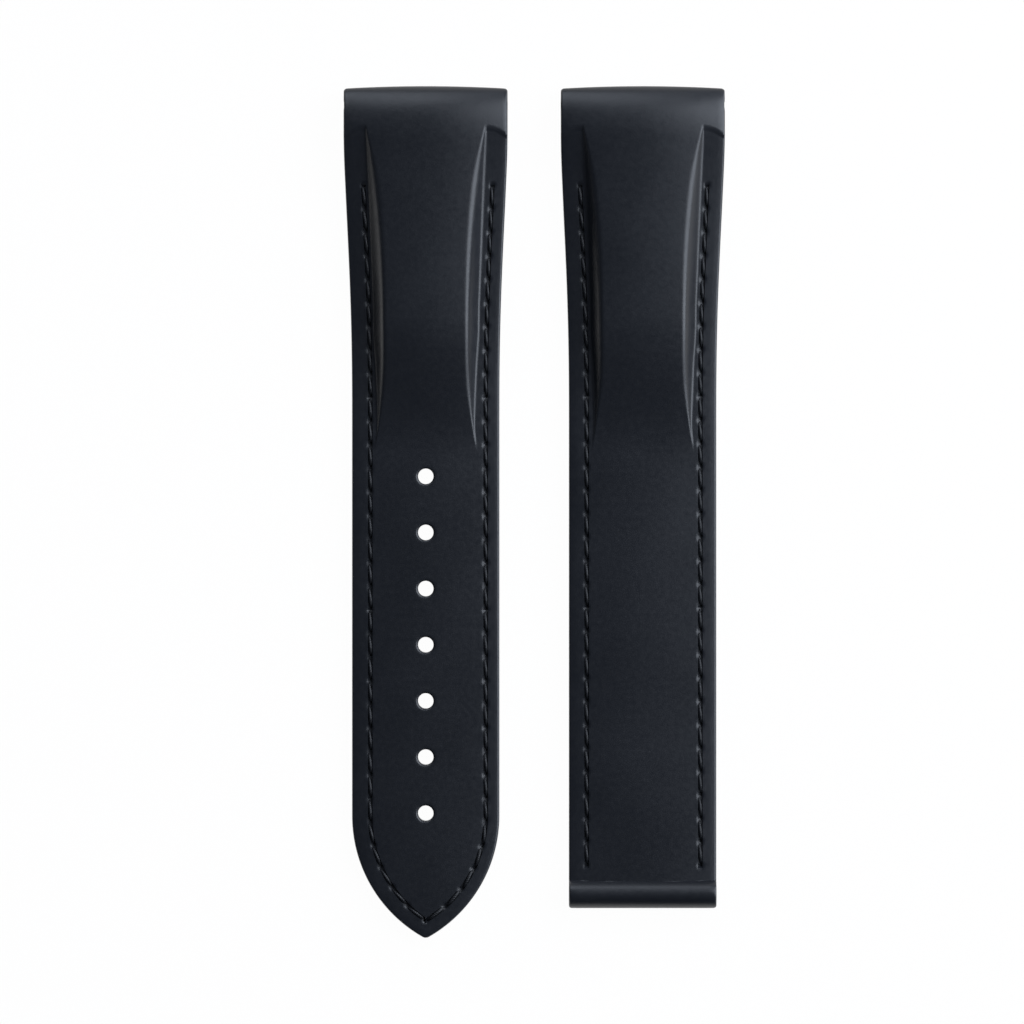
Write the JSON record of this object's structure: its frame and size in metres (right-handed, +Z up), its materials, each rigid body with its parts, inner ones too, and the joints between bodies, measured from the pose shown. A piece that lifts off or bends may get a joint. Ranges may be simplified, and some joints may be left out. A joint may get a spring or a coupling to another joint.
{
  "type": "rubber dive strap",
  "caption": "Padded rubber watch strap in two sewn halves, with a pointed tail with adjusting holes and a round-ended clasp side, on lug and clasp tubes.",
  "frame": {"origin": "middle of the pair's footprint, on the surface that both halves lie on with their wrist faces down", "axes": "+Y towards the lug ends, +Z up from the wrist faces; the long half lies on the -X side and the short half on the +X side"},
  "size_m": [0.0466, 0.104, 0.005],
  "materials": {
    "cover_rubber": "fine matt moulded rubber, near black with a cool cast",
    "lining_rubber": "matt rubber with a fine grain",
    "tape_weave": "woven nylon tape",
    "padding_foam": "firm cellular rubber",
    "needle_thread": "bonded polyester thread, black, slightly glossy",
    "bobbin_thread": "bonded polyester thread, black",
    "core_rubber": "hard rubber",
    "tube_steel": "drawn stainless steel tube"
  },
  "bodies": {
    "long_lug": {"long_bobbin_thread_lug": "bobbin_thread", "long_core_tape_lug": "tape_weave", "long_cover_lug": "cover_rubber", "long_lining_lug": "lining_rubber", "long_lug_core": "core_rubber", "long_lug_tube": "tube_steel", "long_needle_thread_lug": "needle_thread", "long_padding_lug": "padding_foam"},
    "long_upper": {"long_bobbin_thread_upper": "bobbin_thread", "long_core_tape_upper": "tape_weave", "long_cover_upper": "cover_rubber", "long_lining_upper": "lining_rubber", "long_needle_thread_upper": "needle_thread", "long_padding_upper": "padding_foam"},
    "long_middle": {"long_bobbin_thread_middle": "bobbin_thread", "long_core_tape_middle": "tape_weave", "long_cover_middle": "cover_rubber", "long_lining_middle": "lining_rubber", "long_needle_thread_middle": "needle_thread"},
    "long_end": {"long_bobbin_thread_end": "bobbin_thread", "long_core_tape_end": "tape_weave", "long_cover_end": "cover_rubber", "long_lining_end": "lining_rubber", "long_needle_thread_end": "needle_thread"},
    "short_lug": {"short_bobbin_thread_lug": "bobbin_thread", "short_core_tape_lug": "tape_weave", "short_cover_lug": "cover_rubber", "short_lining_lug": "lining_rubber", "short_lug_core": "core_rubber", "short_lug_tube": "tube_steel", "short_needle_thread_lug": "needle_thread", "short_padding_lug": "padding_foam"},
    "short_upper": {"short_bobbin_thread_upper": "bobbin_thread", "short_core_tape_upper": "tape_weave", "short_cover_upper": "cover_rubber", "short_lining_upper": "lining_rubber", "short_needle_thread_upper": "needle_thread", "short_padding_upper": "padding_foam"},
    "short_middle": {"short_bobbin_thread_middle": "bobbin_thread", "short_core_tape_middle": "tape_weave", "short_cover_middle": "cover_rubber", "short_lining_middle": "lining_rubber", "short_needle_thread_middle": "needle_thread"},
    "short_end": {"short_bobbin_thread_end": "bobbin_thread", "short_clasp_tube": "tube_steel", "short_core_tape_end": "tape_weave", "short_cover_end": "cover_rubber", "short_lining_end": "lining_rubber", "short_needle_thread_end": "needle_thread"}
  },
  "joints": [
    {"name": "halves_apart", "type": "slide", "parent": "long_lug", "child": "short_lug", "axis": [1, 0, 0], "range_m": [0, 0.03]},
    {"name": "long_first_flex", "type": "hinge", "parent": "long_lug", "child": "long_upper", "pos_m": [-0.01325, 0.02835, 0], "axis": [1, 0, 0], "range_deg": [0, 30], "stiffness_Nm_per_rad": 0.03},
    {"name": "long_second_flex", "type": "hinge", "parent": "long_upper", "child": "long_middle", "pos_m": [-0.01325, 0.00093, 0], "axis": [1, 0, 0], "range_deg": [0, 40], "stiffness_Nm_per_rad": 0.005},
    {"name": "long_third_flex", "type": "hinge", "parent": "long_middle", "child": "long_end", "pos_m": [-0.01325, -0.02651, 0], "axis": [1, 0, 0], "range_deg": [0, 40], "stiffness_Nm_per_rad": 0.005},
    {"name": "short_first_flex", "type": "hinge", "parent": "short_lug", "child": "short_upper", "pos_m": [0.01325, 0.02844, 0], "axis": [1, 0, 0], "range_deg": [0, 30], "stiffness_Nm_per_rad": 0.03},
    {"name": "short_second_flex", "type": "hinge", "parent": "short_upper", "child": "short_middle", "pos_m": [0.01325, 0.00265, 0], "axis": [1, 0, 0], "range_deg": [0, 40], "stiffness_Nm_per_rad": 0.005},
    {"name": "short_third_flex", "type": "hinge", "parent": "short_middle", "child": "short_end", "pos_m": [0.01325, -0.02314, 0], "axis": [1, 0, 0], "range_deg": [0, 40], "stiffness_Nm_per_rad": 0.005}
  ]
}
